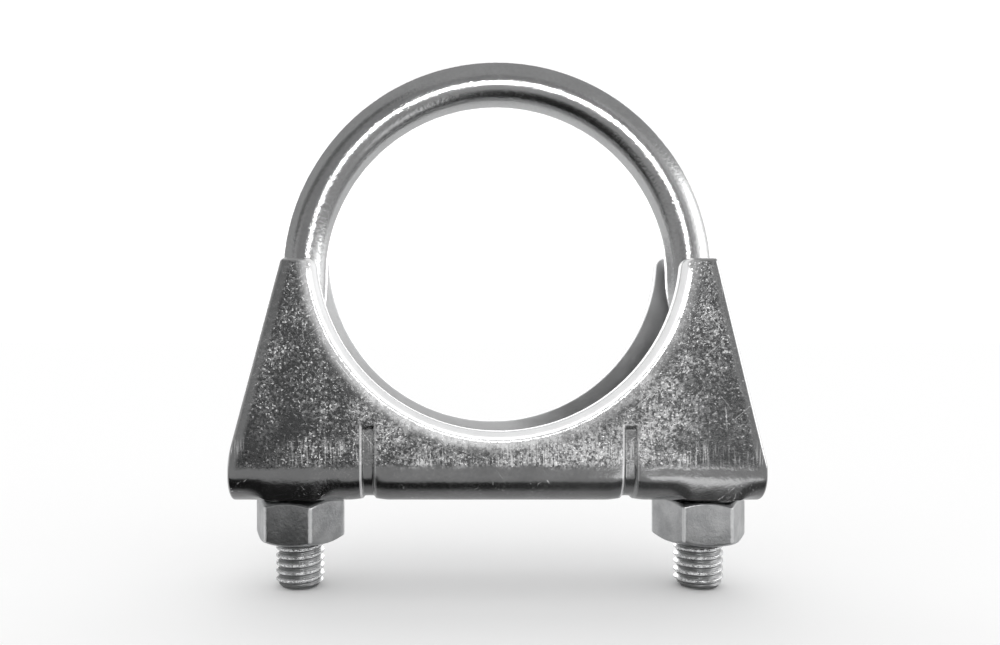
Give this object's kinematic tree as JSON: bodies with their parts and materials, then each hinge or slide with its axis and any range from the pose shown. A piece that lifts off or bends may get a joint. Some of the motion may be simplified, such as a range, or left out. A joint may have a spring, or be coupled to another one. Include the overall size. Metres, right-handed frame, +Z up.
{
  "type": "exhaust clamp",
  "caption": "U-bolt exhaust clamp with a folded channel saddle, drawn up on a round pipe by hexagon nuts.",
  "frame": {"origin": "centre of the U-bolt's arch, on the axis of the pipe it holds", "axes": "+Z up over the arch, the legs pointing down; +X from the left leg to the right leg; the pipe runs along Y, and the pictured side faces -Y"},
  "size_m": [0.0829, 0.018, 0.0853],
  "materials": {
    "rod_zinc": "bright zinc plated drawn rod",
    "sheet_zinc": "spangled zinc plated sheet",
    "nut_zinc": "satin zinc plated"
  },
  "bodies": {
    "u_bolt": {"u_bolt": "rod_zinc"},
    "saddle": {"saddle": "sheet_zinc"},
    "nut_left": {"nut_left": "nut_zinc"},
    "nut_right": {"nut_right": "nut_zinc"}
  },
  "joints": [
    {"name": "saddle_slide", "type": "slide", "parent": "u_bolt", "child": "saddle", "axis": [0, 0, 1], "range_m": [-0.0075, 0.0135]},
    {"name": "left_nut_turn", "type": "hinge", "parent": "saddle", "child": "nut_left", "pos_m": [-0.03213, 0, -0.0392], "axis": [0, 0, 1], "range_deg": [-2160, 3888]},
    {"name": "right_nut_turn", "type": "hinge", "parent": "saddle", "child": "nut_right", "pos_m": [0.03302, 0, -0.0392], "axis": [0, 0, 1], "range_deg": [-2160, 3888]}
  ],
  "couplings": [
    {"joint": "left_nut_turn", "follows": "saddle_slide", "rad_per_m": 5026.5},
    {"joint": "right_nut_turn", "follows": "saddle_slide", "rad_per_m": 5026.5}
  ]
}
